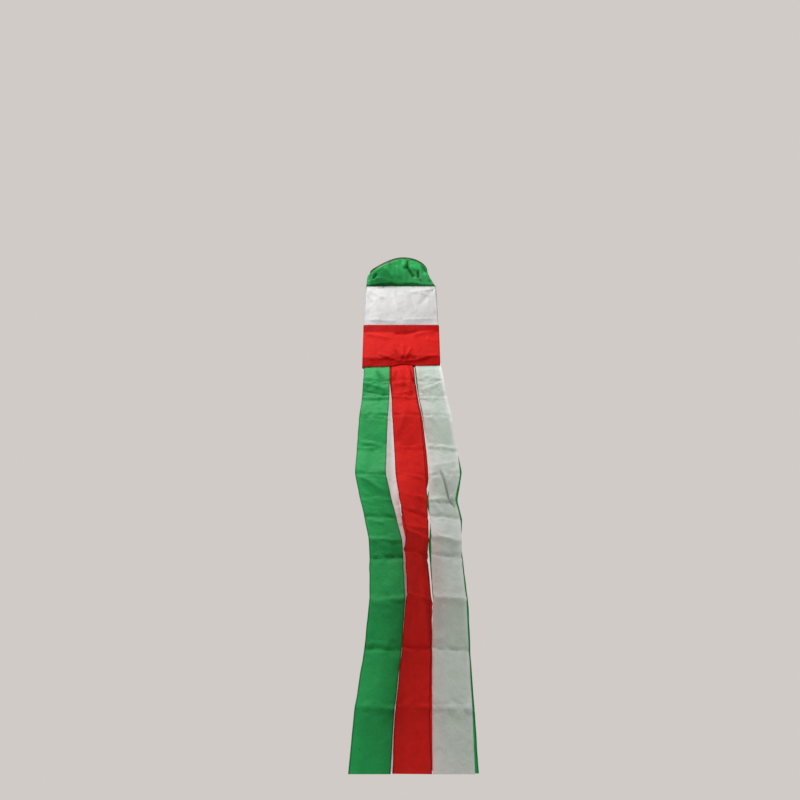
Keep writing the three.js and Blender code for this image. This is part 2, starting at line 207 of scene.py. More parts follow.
def wire_arc(a, angle):
    """Length of wire from the right end of a hoop of half width a, at each angle."""
    points = np.stack([a * np.cos(angle), HOOP_B * np.sin(angle), -droop(angle)], 1)
    return np.concatenate([[0], np.cumsum(np.linalg.norm(np.diff(points, axis=0), axis=1))])


WIRE_TURN = np.linspace(0, 2 * math.pi, 2001)
HOOP_A = HOOP_B
while wire_arc(HOOP_A, WIRE_TURN)[-1] < ROUND:
    HOOP_A += 0.1 * MM


def hoop_ring(out, up):
    """Points round the hoop, out and up from the wire in the hoop's own plane, turned into place."""
    arc = wire_arc(HOOP_A, WIRE_TURN)
    a = np.interp(STATIONS * arc[-1], arc, WIRE_TURN)
    normal = np.stack([np.cos(a) / HOOP_A, np.sin(a) / HOOP_B])
    normal /= np.hypot(*normal)
    x = HOOP_A * np.cos(a) + normal[0] * out
    y = HOOP_B * np.sin(a) + normal[1] * out
    z = up - droop(a)
    c, s = math.cos(HOOP_ROLL), math.sin(HOOP_ROLL)
    x, z = x * c - z * s, x * s + z * c
    c, s = math.cos(HOOP_TILT), math.sin(HOOP_TILT)
    return np.stack([x, y * c + z * s, z * c - y * s], 1) + HOOP_PLACE


def outward(row):
    """Level unit vectors square to a ring of points."""
    along = np.roll(row, -1, 0) - np.roll(row, 1, 0)
    out = np.stack([along[:, 1], -along[:, 0], np.zeros(len(row))], 1)
    return out / np.linalg.norm(out, axis=1, keepdims=True)


def ring(x, y, z):
    return np.stack([x, y, np.broadcast_to(z, x.shape)], 1)


def finish_tube(name, rows, lengths, folds, keep=None):
    """The mesh through rings of points. lengths are the cloth's lengths from each ring to the next."""
    points = np.array(rows)
    # how deep each point lies in a pressed fold, which sets the shade painted into it
    crease = -fold_lines(points[:, :, 0], points[:, :, 2], folds) * FRONT / DEEP_FOLD
    around = np.append(STATIONS, STATIONS[0] + 1) * ROUND
    flat = np.stack(np.meshgrid(around, np.cumsum(lengths), indexing="xy"), 2)
    return cloth_mesh(name, points, flat, crease, wrap=True, keep=keep)


# Folds pressed or pulled into the front of the bands, as (x, z, x, z, height, width) in mm from the hoop
DOME_FOLDS = [
    (23, 4, 20, -20, -7, 3), (20, -18, 31, -38, -7, 3.2), (31, -36, 44, -56, -6, 4),
    (22, -20, 8, -30, -4, 4), (-36, -2, -42, -26, -6, 3.5), (-2, 4, -6, -10, -3.5, 3),
    (58, -32, 60, -58, -7, 4), (64, -62, 72, -76, -4, 4), (70, -6, 86, -30, -4, 4),
    (-84, -54, -96, -66, -4.5, 4), (-104, -48, -110, -66, -2, 4), (8, -6, 12, -24, 4, 4),
    (-88, -68, 0, -76, 3, 4), (-4, -76, 70, -74, 3, 4), (34, -18, 48, -30, 4, 5),
    (-60, -34, -30, -62, 3.5, 6), (-14, -26, -8, -60, 3.5, 6), (80, -40, 96, -66, 4, 5),
]
WHITE_FOLDS = [
    (118, -96, 104, -108, -4, 4), (112, -100, 30, -118, 3, 7), (100, -108, 60, -178, -2, 9),
    (-112, -102, -60, -148, 3, 9), (-30, -98, -10, -208, 2.4, 13), (30, -118, 44, -228, -1.6, 12),
    (-90, -148, -70, -248, 2.2, 11), (84, -158, 110, -208, 2.4, 8), (-112, -244, -20, -252, 2, 5),
    (10, -246, 112, -240, 2, 5), (-114, -130, -96, -170, -2, 7), (60, -120, 92, -128, 2.6, 6),
]
RED_FOLDS = [
    (4, -426, -66, -390, 4.4, 5), (8, -424, -20, -376, -2.2, 4), (10, -424, 30, -370, 4.6, 4),
    (12, -426, 84, -404, 4, 5), (6, -414, 6, -354, 3, 6), (-112, -308, -40, -326, 2.6, 7),
    (112, -294, 40, -314, 3, 7), (-20, -308, 50, -300, -3.4, 5), (-100, -408, -40, -404, 2.4, 5),
    (50, -406, 112, -400, 2.6, 5), (-5, -404, 22, -408, 2.6, 6), (-30, -414, 10, -418, -2.5, 4),
    (24, -398, 48, -410, -2.5, 4), (-16, -396, -38, -402, -2.2, 4), (80, -330, 108, -344, 2.4, 6),
]

DOME_CLOTH = 76 * MM  # cloth from the casing to the first seam
TUNNEL_CLOTH = 14.4 * MM  # cloth round the wire
BELLY = 9 * MM  # slack in the back of the dome
SKIRT_RINGS, TUNNEL_RINGS, DOME_RINGS = 7, 12, 28
WHITE_RINGS = 45
SEAM_FOLD_RINGS, RED_RINGS, TAIL_HEM_RINGS = 9, 51, 10


def green_cloth():
    """The green band in one piece with its casing: up the inside of the hoop, over the wire and down."""
    rows, lengths = [], []

    def add(row, length):
        rows.append(row)
        lengths.append(length)

    for up in np.linspace(-SKIRT, -TUNNEL_R, SKIRT_RINGS):  # up the inside
        add(hoop_ring(-PLY, up), SKIRT / SKIRT_RINGS)
    for turn in np.linspace(245, -65, TUNNEL_RINGS):  # over the wire
        a = math.radians(turn)
        add(hoop_ring(TUNNEL_R * math.cos(a), TUNNEL_R * math.sin(a)), TUNNEL_CLOTH / TUNNEL_RINGS)
    for up in np.linspace(-TUNNEL_R - 1 * MM, -SKIRT, SKIRT_RINGS):  # down the outside
        add(hoop_ring(PLY, up), SKIRT / SKIRT_RINGS)
    casing = len(rows)
    top = rows[-1]
    x, y = flat_section(BAND_DEPTH["seam_1"], GREEN_HALF)
    bottom = ring(x, y, SEAM_1)
    theta = 2 * math.pi * STATIONS
    for t in np.linspace(0, 1, DOME_RINGS + 1)[1:]:
        row = top + (bottom - top) * t
        rightward = smooth((top[:, 0] + 50 * MM) / (100 * MM))
        spread = t ** (0.15 + 1.15 * rightward)  # the left shoulder stands out sooner than the right
        row[:, 0] = top[:, 0] + (bottom[:, 0] - top[:, 0]) * spread
        row[:, 1] = top[:, 1] + (bottom[:, 1] - top[:, 1]) * (0.8 * t + 0.2 * t * t)
        out = outward(row)
        fade = smooth(t / 0.25) * (1 - 0.92 * smooth((t - 0.55) / 0.45))
        gather = 1.4 * MM * noise(theta * 5.3, 1.5 * t, 11) + 1.0 * MM * noise(theta * 9.1, 2 * t, 12)
        belly = (1 - FRONT) * (1 - np.abs(np.cos(theta)) ** 6)  # the back only, not the sides
        slack = BELLY * belly * math.sin(math.pi * t) * (0.6 + 0.6 * noise(theta * 2.2, 3 * t, 13))
        folds = fold_lines(row[:, 0], row[:, 2], DOME_FOLDS) * FRONT
        height = (gather + folds) * fade + slack
        row = row + out * height[:, None]
        add(row, DOME_CLOTH / DOME_RINGS)
    keep = np.ones((len(rows) - 1, AROUND), bool)
    in_gap = np.abs((STATIONS + 0.5 / AROUND) - 0.25) * ROUND < CASING_GAP / 2
    keep[: casing - 1, in_gap] = False
    return finish_tube("green_cloth", rows, lengths, DOME_FOLDS, keep), rows[-1]


def tail_height(x, z):
    """The sloping, puckered lower edge, fading out up the band, as a change of height."""
    near = smooth((SEAM_2 - 30 * MM - z) / (SEAM_2 - 30 * MM - TAIL))
    pucker = 7 * MM * np.exp(-(((x - 8 * MM) / (26 * MM)) ** 2))
    return near * (TAIL_SLOPE * x / (118 * MM) - 2 * MM + pucker)


def band_row(z, z0, z1, depth0, depth1, half0, half1, seed, folds):
    """One ring of a flattened band, with soft swelling, wrinkles and its folds."""
    t = (z0 - z) / (z0 - z1)
    depth = depth0 + (depth1 - depth0) * t
    x, y = flat_section(depth, half0 + (half1 - half0) * t)
    row = ring(x, y, z)
    side = np.sign(y)
    swell = 3.5 * MM * math.sin(math.pi * t) ** 0.7 * (1 - np.clip(np.abs(x) / half0, 0, 1) ** 2.5)
    # soft up-and-down waves of cloth hanging slack, different at the back
    hang = 1.6 * MM * rumple(x + 0.3 * side, z * 0.45, 46 * MM, seed) * (1 - np.abs(x / half0) ** 6)
    fine = 0.35 * MM * rumple(x + 0.3 * side, z, 13 * MM, seed + 9)
    front = fold_lines(x, z, folds) * FRONT
    back = fold_lines(-x, z, folds) * (1 - FRONT) * 0.8
    edge = smooth(t / 0.05) * smooth((1 - t) / 0.04)
    soft = swell + (hang + fine) * (0.25 + 0.75 * edge)
    row[:, 1] += side * soft + side * (front + back) * (0.3 + 0.7 * edge)
    return row


def white_row(z):
    """The white band starts inside the green one's lower edge."""
    depths = BAND_DEPTH["seam_1"] - 2 * PLY, BAND_DEPTH["seam_2"] - 2 * PLY
    return band_row(z, SEAM_1, SEAM_2, *depths, *WHITE_HALF, 21, WHITE_FOLDS)


def white_cloth(top):
    rows, lengths = [top + outward(top) * -PLY], [0]
    for z in np.linspace(SEAM_1, SEAM_2, WHITE_RINGS + 1)[1:]:
        rows.append(white_row(z))
        lengths.append((SEAM_1 - SEAM_2) / WHITE_RINGS)
    for k, e in enumerate((0.75, 0.5, 0.25), 1):  # leaves the green cloth's edge smoothly
        lowered = rows[0] + np.array([0, 0, rows[k][0, 2] - SEAM_1])
        rows[k] = rows[k] * (1 - e) + lowered * e
    return finish_tube("white_cloth", rows, lengths, WHITE_FOLDS)


def red_row(z):
    row = band_row(z, SEAM_2, TAIL, BAND_DEPTH["seam_2"], BAND_DEPTH["tail"], *RED_HALF, 41, RED_FOLDS)
    row[:, 2] += tail_height(row[:, 0], z)
    return row


def red_cloth():
    """The red band with both its edges turned in."""
    rows, lengths = [], []

    def inner(z, far):
        row = red_row(z)
        return row + outward(row) * -(2.4 * PLY + far)

    for z in np.linspace(SEAM_2 - SEAM_FOLD, SEAM_2 - 1.5 * MM, SEAM_FOLD_RINGS):  # the turned-in top edge
        wavy = 2.5 * MM * noise(STATIONS * 14, 0.5, 51) * (SEAM_2 - z) / SEAM_FOLD
        row = inner(z, 0.3 * MM)
        row[:, 2] += wavy
        rows.append(row)
        lengths.append(SEAM_FOLD / SEAM_FOLD_RINGS)
    over = red_row(SEAM_2 - 1 * MM)
    rows.append(over + outward(over) * -PLY + np.array([0, 0, 1.2 * MM]))
    lengths.append(1.5 * MM)
    for z in np.linspace(SEAM_2 - 1 * MM, TAIL, RED_RINGS + 1):
        rows.append(red_row(z))
        lengths.append((SEAM_2 - TAIL) / RED_RINGS)
    under = red_row(TAIL)
    rows.append(under + outward(under) * -1.2 * PLY - np.array([0, 0, 0.7 * MM]))
    lengths.append(1 * MM)
    for z in np.linspace(TAIL + 1 * MM, TAIL + TAIL_HEM, TAIL_HEM_RINGS):  # the turned-up hem
        rows.append(inner(z, 0))
        lengths.append(TAIL_HEM / TAIL_HEM_RINGS)
    return finish_tube("red_cloth", rows, lengths, RED_FOLDS)


# ---- Streamers: each follows the creases of its CAD solid ----
def crease_points(node):
    """The left and right edges of a streamer at each of its creases, from the top down."""
    co = np.array([v.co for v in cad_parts[node].data.vertices])
    levels = np.unique(np.round(co[:, 2], 4))[::-1]
    left, right = [], []
    for z in levels:
        at = co[np.abs(co[:, 2] - z) < 0.2 * MM]
        middle = (at[:, 0].min() + at[:, 0].max()) / 2
        left.append(at[at[:, 0] < middle].mean(0))
        right.append(at[at[:, 0] >= middle].mean(0))
    return np.array(left), np.array(right)


RIBBON = 80 * MM  # width of a streamer
STREAMER_STEP = 4 * MM
ACROSS = 25  # points across a streamer
UNDER_HEM = 9 * MM  # length of a streamer inside the tail
SPRING = 1.4  # how much further than the CAD solid's the creases stand out
LAYER_CLEAR = 2.2 * MM  # from the middle of the tube to either layer of streamers, at least

# Folds that only one streamer has, as (share across, mm down, share across, mm down, height, width)
OWN_FOLDS = {
    "streamer_front_left_green": [
        (0.05, 66, 0.9, 92, 2.2, 5), (0.3, 40, 0.7, 112, 2, 6), (0.1, 98, 0.95, 112, -2.2, 4),
        (0.5, 122, 0.95, 118, 2, 4), (0.1, 270, 0.9, 282, 2, 4), (0.15, 380, 0.8, 420, 2, 7),
        (0.1, 500, 0.6, 506, 1.8, 4), (0.5, 16, 0.75, 60, -1.6, 6),
    ],
    "streamer_front_middle_red": [
        (0.8, 4, 0.97, 74, -3, 4), (0.3, 8, 0.5, 80, 2.5, 6), (0.8, 10, 0.75, 100, 3, 5),
        (0.2, 112, 0.9, 96, 2, 4), (0.5, 180, 0.15, 250, 2.2, 7), (0.1, 372, 0.9, 388, 2.2, 4),
        (0.3, 392, 0.7, 470, 2.4, 9), (0.1, 534, 0.9, 524, 2.2, 4), (0.4, 14, 0.1, 60, -1.2, 5),
    ],
    "streamer_front_right_white": [
        (0.1, 96, 0.9, 66, 1.8, 5), (0.3, 40, 0.9, 54, 1.4, 6), (0.4, 370, 0.86, 458, -6, 2.2),
        (0.5, 372, 0.92, 450, 4, 4), (0.1, 282, 0.95, 296, 1.8, 4), (0.2, 150, 0.6, 260, 1.4, 12),
        (0.1, 352, 0.9, 336, 1.6, 5), (0.1, 540, 0.9, 556, 1.8, 4), (0.2, 440, 0.6, 520, 1.6, 9),
    ],
}


def ribbon(node, seed):
    """A streamer's cloth, through the creases of its CAD solid, with its waves, wrinkles and folds."""
    left, right = crease_points(node)
    side = -1 if "front" in node else 1
    top, end = left[0][2], left[-1][2]
    z = np.linspace(top, end, int((top - end) / STREAMER_STEP))
    kernel = np.exp(-np.linspace(-2, 2, 7) ** 2)
    kernel /= kernel.sum()

    def along(points):
        line = np.stack([np.interp(-z, -points[:, 2], points[:, k]) for k in range(3)], 1)
        for k in (0, 1):
            padded = np.concatenate([[line[0, k]] * 3, line[:, k], [line[-1, k]] * 3])
            line[:, k] = np.convolve(padded, kernel, "valid")
        return line

    # the creases stand out from the layer's own plane more than the stiff solid's do
    half = np.abs(left[:, 1] - right[:, 1]) / 2
    bulge = np.abs(left[:, 1] + right[:, 1]) / 2 - half
    bulge = SPRING * (bulge - bulge[0])[:, None] * np.array([0, side, 0])
    a, b = along(left + bulge), along(right + bulge)
    s = np.linspace(0, 1, ACROSS)
    points = a[:, None, :] + (b - a)[:, None, :] * s[None, :, None]
    down = top - z
    # up under the hem, to the stitching
    hem_z = np.linspace(UNDER_HEM, 0, 5)[:-1]
    hem = np.repeat(points[:1], len(hem_z), 0)
    hem[:, :, 2] += hem_z[:, None]
    points = np.concatenate([hem, points])
    down = np.concatenate([-hem_z, down])
    d, sx = down[:, None], s[None, :]
    # the whole top follows the slope and pucker of the tail
    rise = tail_height(points[:1, :, 0], TAIL) * (1 - smooth(d / (120 * MM)))
    points[:, :, 2] += rise
    points[:, :, 2] -= (top - TAIL) * (1 - smooth(d / (60 * MM)))
    # it starts just inside the wall of the tube
    inside = BAND_DEPTH["tail"] / 2 - 3.4 * PLY
    hold = 1 - smooth((d - 1 * MM) / (22 * MM))
    points[:, :, 1] = points[:, :, 1] * (1 - hold) + side * inside * hold
    loose = smooth(d / (40 * MM))
    curl = 3.2 * MM * noise(d / (170 * MM), 0.3, seed) * ((2 * sx - 1) ** 2 - 0.3)
    wave = 2 * MM * rumple(sx * RIBBON, d * 0.6, 50 * MM, seed + 3)
    crushed = 1 + 2.2 * np.exp(-(((d - 95 * MM) / (45 * MM)) ** 2))
    fine = 0.45 * MM * crushed * rumple(sx * RIBBON, d, 12 * MM, seed + 5)
    pressed = 0
    for k, drop in enumerate(top - left[1:-1, 2]):
        line = d - drop - 5 * MM * noise(0.3, k + 0.5, seed + 7) * (sx - 0.5) * 2
        pressed = pressed + (2.6 if k % 2 else -2.6) * MM * np.exp(-np.abs(line / (4 * MM)) ** 1.2)
        near = np.exp(-((line / (16 * MM)) ** 2))
        pressed = pressed + 1.4 * MM * near * rumple(sx * RIBBON + k, d * 2.2, 16 * MM, seed + 20 + k)
    wide = RIBBON / MM
    lines = [(x0 * wide, -d0, x1 * wide, -d1, 1.6 * h, w) for x0, d0, x1, d1, h, w in OWN_FOLDS.get(node, [])]
    own = fold_lines(sx * RIBBON, -d, lines)
    gather = 1.4 * MM * np.sin(2 * math.pi * (2.6 * sx + 0.2 * seed)) * np.exp(-d / (45 * MM)) * loose
    height = loose * (curl + wave + fine + pressed + own) + gather
    across = np.concatenate([np.repeat(b[:1] - a[:1], len(hem_z), 0), b - a])
    normal = np.stack([across[:, 1], -across[:, 0], 0 * across[:, 0]], 1)
    normal /= np.linalg.norm(normal, axis=1, keepdims=True)
    points -= normal[:, None, :] * height[:, :, None] * side
    # the two layers hang clear of each other
    points[:, :, 1] = side * np.maximum(side * points[:, :, 1], LAYER_CLEAR)
    points[:, :, 0] += loose * 0.7 * MM * noise(d / (22 * MM), sx * 0 + 0.5, seed + 31)
    flat = np.stack(np.broadcast_arrays(sx * RIBBON, d), 2)
    # how deep each point lies in a pressed fold, which sets the shade painted into it
    crease = -(0.4 * pressed + own) / DEEP_FOLD
    return cloth_mesh(node.replace("streamer_", "ribbon_"), points, flat, crease)


# ---- Stitching ----
STITCH_PITCH = 3 * MM
STITCH_LENGTH = 2.2 * MM
THREAD_R = 0.28 * MM


def stitches(name, line, normals, closed):
    """A row of separate stitches along a line of points, standing a little proud of the cloth."""
    points = np.concatenate([line, line[:1]]) if closed else line
    ups = np.concatenate([normals, normals[:1]]) if closed else normals
    gone = np.concatenate([[0], np.cumsum(np.linalg.norm(np.diff(points, axis=0), axis=1))])
    verts, faces = [], []
    sides = 6
    for k in range(int(gone[-1] / STITCH_PITCH)):
        for j, (share, size) in enumerate(((0, 0.35), (0.25, 1), (0.75, 1), (1, 0.35))):
            at = k * STITCH_PITCH + STITCH_LENGTH * share
            centre = np.array([np.interp(at, gone, points[:, i]) for i in range(3)])
            ahead = np.array([np.interp(at + 0.5 * MM, gone, points[:, i]) for i in range(3)]) - centre
            up = np.array([np.interp(at, gone, ups[:, i]) for i in range(3)])
            up /= np.linalg.norm(up)
            ahead /= max(np.linalg.norm(ahead), 1e-9)
            side = np.cross(ahead, up)
            centre = centre + up * (THREAD_R * 0.9)
            for i in range(sides):
                a = 2 * math.pi * i / sides
                verts.append(centre + (side * math.cos(a) + up * math.sin(a)) * THREAD_R * size)
            if j:
                base = len(verts) - 2 * sides
                faces += [(base + i, base + (i + 1) % sides, base + sides + (i + 1) % sides, base + sides + i)
                          for i in range(sides)]
        first, last = len(verts) - 4 * sides, len(verts) - sides
        faces += [tuple(range(first + sides - 1, first - 1, -1)), tuple(range(last, last + sides))]
    mesh = bpy.data.meshes.new(name)
    mesh.from_pydata([tuple(v) for v in verts], [], faces)
    mesh.polygons.foreach_set("use_smooth", [True] * len(mesh.polygons))
    obj = bpy.data.objects.new(name, mesh)
    bpy.context.scene.collection.objects.link(obj)
    return obj


# ---- Materials ----
def node_maker(material):
    tree = material.node_tree
    tree.nodes.clear()

    def make(kind, inputs=None, **settings):
        node = tree.nodes.new(kind)
        for key, value in settings.items():
            setattr(node, key, value)
        for key, value in (inputs or {}).items():
            if isinstance(value, bpy.types.NodeSocket):
                tree.links.new(value, node.inputs[key])
            else:
                node.inputs[key].default_value = value
        return node

    return make


def math_node(make, operation, a, b=0.0, c=0.0):
    return make("ShaderNodeMath", {0: a, 1: b, 2: c}, operation=operation).outputs[0]


def cloth_material(
    name, color, thin, edge_shade_tone=1.0, width=0.0, painted_shade_stretches=(), gloss=0.3, sheen=0.05, fold_shade_tone=0.4
):
    """Light plain-woven polyester. thin is the share of light that passes through. The edge tone is painted
    shade on the long, roll-hemmed edges of a ribbon of the given width. Each stretch of two layers, (from,
    to, tone) down the cloth in metres, is painted darker as shade where less light comes through, and its
    limits are a little wavy. The fold tone is the painted shade of a deep fold."""
    material = bpy.data.materials.new(name)
    material.use_nodes = True
    make = node_maker(material)
    uv = make("ShaderNodeUVMap", uv_map="cloth").outputs[0]
    split = make("ShaderNodeSeparateXYZ", {0: uv})
    threads = []
    for axis, pitch in (("X", 0.55 * MM), ("Y", 0.7 * MM)):
        turns = math_node(make, "MULTIPLY", split.outputs[axis], 2 * math.pi / pitch)
        threads.append(math_node(make, "SINE", turns))
    weave = math_node(make, "MULTIPLY", threads[0], threads[1])
    cloudy = make("ShaderNodeTexNoise", {"Vector": uv, "Scale": 18.0, "Detail": 4.0, "Roughness": 0.55})
    slub = make("ShaderNodeMapping", {"Vector": uv, "Scale": (900.0, 25.0, 1.0)})
    slubs = make("ShaderNodeTexNoise", {"Vector": slub.outputs[0], "Scale": 1.0, "Detail": 2.0})
    crushed = make("ShaderNodeTexNoise", {
        "Vector": uv, "Scale": 70.0, "Detail": 6.0, "Roughness": 0.6, "Distortion": 0.6})
    tone = math_node(make, "MULTIPLY_ADD", cloudy.outputs["Fac"], 0.22, 0.89)
    tone = math_node(make, "MULTIPLY_ADD", slubs.outputs["Fac"], 0.08, tone)
    tone = math_node(make, "MULTIPLY_ADD", weave, 0.035, tone)
    tone = math_node(make, "ADD", tone, -0.04)
    if width:
        # distance from the nearer long edge; the edge is rolled and sewn, so it is double, and it is painted
        # darker as shade
        middle = math_node(make, "SUBTRACT", split.outputs["X"], width / 2)
        off = math_node(make, "SUBTRACT", width / 2, math_node(make, "ABSOLUTE", middle))
        painted_edge_shade = make("ShaderNodeMapRange", {0: off, 1: 2.2 * MM, 2: 3.4 * MM, 3: edge_shade_tone, 4: 1.0})
        tone = math_node(make, "MULTIPLY", tone, painted_edge_shade.outputs[0])
    sway = math_node(make, "MULTIPLY_ADD", make(
        "ShaderNodeTexNoise", {"Vector": uv, "Scale": 22.0, "Detail": 2.0}).outputs["Fac"], 16 * MM, -8 * MM)
    down = math_node(make, "ADD", split.outputs["Y"], sway)
    # painted shade in the folds: the deeper a point lies in a fold, the darker its colour
    crease = make("ShaderNodeAttribute", attribute_name="crease").outputs["Fac"]
    tone = math_node(make, "MULTIPLY", tone, math_node(make, "MULTIPLY_ADD", crease, fold_shade_tone - 1, 1.0))
    layers = math_node(make, "ADD", crease, 1.0)
    # painted shade: each stretch of two layers is darkened, as less light comes through it
    for start, end, dark in painted_shade_stretches:
        into = make("ShaderNodeMapRange", {0: down, 1: start - 2 * MM, 2: start + 2 * MM, 3: 0.0, 4: 1.0})
        past = make("ShaderNodeMapRange", {0: down, 1: end - 3 * MM, 2: end + 3 * MM, 3: 1.0, 4: 0.0})
        inside = math_node(make, "MULTIPLY", into.outputs[0], past.outputs[0])
        tone = math_node(make, "MULTIPLY", tone, math_node(make, "MULTIPLY_ADD", inside, dark - 1, 1.0))
        layers = math_node(make, "ADD", layers, inside)
    # painted: the colour is deepened in folds and in the stretches of two layers, as light that comes through
    # two layers is coloured twice
    deeper = math_node(make, "MULTIPLY_ADD", layers, 0.3, 0.7)
    painted_deep_color = make("ShaderNodeGamma", {0: (*color, 1.0), 1: deeper}).outputs[0]
    grey = make("ShaderNodeCombineColor", {0: tone, 1: tone, 2: tone}).outputs[0]
    shade = make("ShaderNodeMix", {0: 1.0, 6: painted_deep_color, 7: grey}, data_type="RGBA", blend_type="MULTIPLY")
    bump = make("ShaderNodeBump", {"Height": crushed.outputs["Fac"], "Strength": 0.7, "Distance": 1.8 * MM})
    woven = make("ShaderNodeBump", {"Height": weave, "Strength": 0.35, "Distance": 0.06 * MM,
                                    "Normal": bump.outputs[0]})
    rough = math_node(make, "MULTIPLY_ADD", cloudy.outputs["Fac"], 0.16, 0.5)
    front = make("ShaderNodeBsdfPrincipled", {
        "Base Color": shade.outputs[2], "Roughness": rough, "Normal": woven.outputs[0],
        "Specular IOR Level": gloss, "Sheen Weight": sheen, "Sheen Roughness": 0.4})
    through = make("ShaderNodeBsdfTranslucent", {"Color": shade.outputs[2], "Normal": bump.outputs[0]})
    both = make("ShaderNodeMixShader", {0: thin, 1: front.outputs[0], 2: through.outputs[0]})
    make("ShaderNodeOutputMaterial", {"Surface": both.outputs[0]})
    return material


def thread_material(name, color):
    material = bpy.data.materials.new(name)
    material.use_nodes = True
    make = node_maker(material)
    place = make("ShaderNodeTexCoord").outputs["Object"]
    twist = make("ShaderNodeTexWave", {"Vector": place, "Scale": 500.0, "Distortion": 1.0},
                 bands_direction="DIAGONAL")
    shadow = (*[c * 0.72 for c in color], 1)
    ply = make("ShaderNodeMix", {0: twist.outputs["Fac"], 6: shadow, 7: (*color, 1)}, data_type="RGBA")
    bump = make("ShaderNodeBump", {"Height": twist.outputs["Fac"], "Strength": 0.5, "Distance": 0.1 * MM})
    shader = make("ShaderNodeBsdfPrincipled", {"Base Color": ply.outputs[2], "Roughness": 0.7,
                                               "Normal": bump.outputs[0], "Sheen Weight": 0.2})
    make("ShaderNodeOutputMaterial", {"Surface": shader.outputs[0]})
    return material


def metal_material(name, color, roughness, scratch):
    """Drawn or pressed metal, with fine scratches and cloudy tarnish."""
    material = bpy.data.materials.new(name)
    material.use_nodes = True
    make = node_maker(material)
    place = make("ShaderNodeTexCoord").outputs["Object"]
    stretch = make("ShaderNodeMapping", {"Vector": place, "Scale": (200.0, 200.0, 2500.0)})
    lines = make("ShaderNodeTexNoise", {"Vector": stretch.outputs[0], "Scale": scratch, "Detail": 3.0})
    tarnish = make("ShaderNodeTexNoise", {"Vector": place, "Scale": 90.0, "Detail": 5.0})
    dull = (*[c * 0.6 for c in color], 1)
    tint = make("ShaderNodeMix", {0: tarnish.outputs["Fac"], 6: dull, 7: (*color, 1)}, data_type="RGBA")
    rough = math_node(make, "MULTIPLY_ADD", lines.outputs["Fac"], 0.25, roughness)
    bump = make("ShaderNodeBump", {"Height": lines.outputs["Fac"], "Strength": 0.2, "Distance": 0.05 * MM})
    shader = make("ShaderNodeBsdfPrincipled", {
        "Base Color": tint.outputs[2], "Metallic": 1.0, "Roughness": rough, "Normal": bump.outputs[0]})
    make("ShaderNodeOutputMaterial", {"Surface": shader.outputs[0]})
    return material


GREEN = (0.02, 0.375, 0.092)
# one white cloth in two copies: the band's is painted darker as shade and the ribbons' lighter as light
BAND_WHITE_PAINTED_DARKER = (0.585, 0.58, 0.575)
RIBBON_WHITE_PAINTED_LIGHTER = (0.86, 0.845, 0.845)
RED = (0.73, 0.022, 0.018)
CASING_DOWN = 2 * SKIRT + TUNNEL_CLOTH  # cloth from the inner edge of the casing to its outer seam
RED_DOWN = SEAM_FOLD + 5 * MM  # cloth from the end of the red band's turned-in edge to its seam
RIM = 9 * MM  # the rim below the tunnel, painted dark as shade of the wire and the layers of cloth round it
GREEN_SEAM = 10 * MM  # cloth turned in at the green band's lower edge
# Stretches (from, to, tone) painted darker as shade where layers of cloth or the wire let less light through:
# the green casing, its rim and its turned-in lower edge; the red band's turned-in top and its hem
green_painted_shade = ((0, CASING_DOWN, 0.95), (SKIRT, SKIRT + TUNNEL_CLOTH + RIM, 0.35),
                 (CASING_DOWN + DOME_CLOTH - GREEN_SEAM, 1, 0.35))
red_painted_shade = ((0, RED_DOWN + SEAM_FOLD, 0.74), (RED_DOWN + SEAM_2 - TAIL - TAIL_HEM, 1, 0.84))
looks = {
    "green_band": cloth_material("green_band", GREEN, 0.3, painted_shade_stretches=green_painted_shade),
    "white_band": cloth_material("white_band", BAND_WHITE_PAINTED_DARKER, 0.3, fold_shade_tone=0.9),
    "red_band": cloth_material("red_band", RED, 0.35, painted_shade_stretches=red_painted_shade, gloss=0.03, sheen=0.0),
    "green_ribbon": cloth_material("green_ribbon", GREEN, 0.3, 0.5, RIBBON, gloss=0.2),
    "white_ribbon": cloth_material("white_ribbon", RIBBON_WHITE_PAINTED_LIGHTER, 0.5, 0.95, RIBBON, fold_shade_tone=0.8),
    "red_ribbon": cloth_material("red_ribbon", RED, 0.35, 0.5, RIBBON, gloss=0.03, sheen=0.0),
    "green_thread": thread_material("green_thread", (0.03, 0.3, 0.1)),
    "white_thread": thread_material("white_thread", (0.8, 0.8, 0.78)),
    "red_thread": thread_material("red_thread", (0.55, 0.02, 0.018)),
    "wire": metal_material("wire", (0.42, 0.43, 0.44), 0.3, 1.0),
    "sleeve": metal_material("sleeve", (0.5, 0.5, 0.5), 0.35, 2.0),
    "eyelet": metal_material("eyelet", (0.8, 0.8, 0.78), 0.22, 3.0),
}


def dress(obj, look):
    obj.data.materials.clear()
    obj.data.materials.append(looks[look])
    return obj


# ---- Build the cloth ----
green, green_edge = green_cloth()
white = white_cloth(green_edge)
red = red_cloth()
dress(green, "green_band")
dress(white, "white_band")
dress(red, "red_band")

ribbons = {}
names = sorted(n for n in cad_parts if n.startswith("streamer_"))
for k, node in enumerate(names):
    ribbons[node] = dress(ribbon(node, 100 + 40 * k), node.split("_")[-1] + "_ribbon")


def casing_line(up):
    """A line along the outside of the casing, from one end of its gap round to the other, and its normals."""
    row = hoop_ring(PLY, up)
    away = np.abs(STATIONS - 0.25) * ROUND > CASING_GAP / 2 + 1 * MM
    order = np.roll(np.arange(AROUND), -int(np.flatnonzero(~away)[-1]) - 1)
    order = order[away[order]]
    return row[order], outward(row)[order]


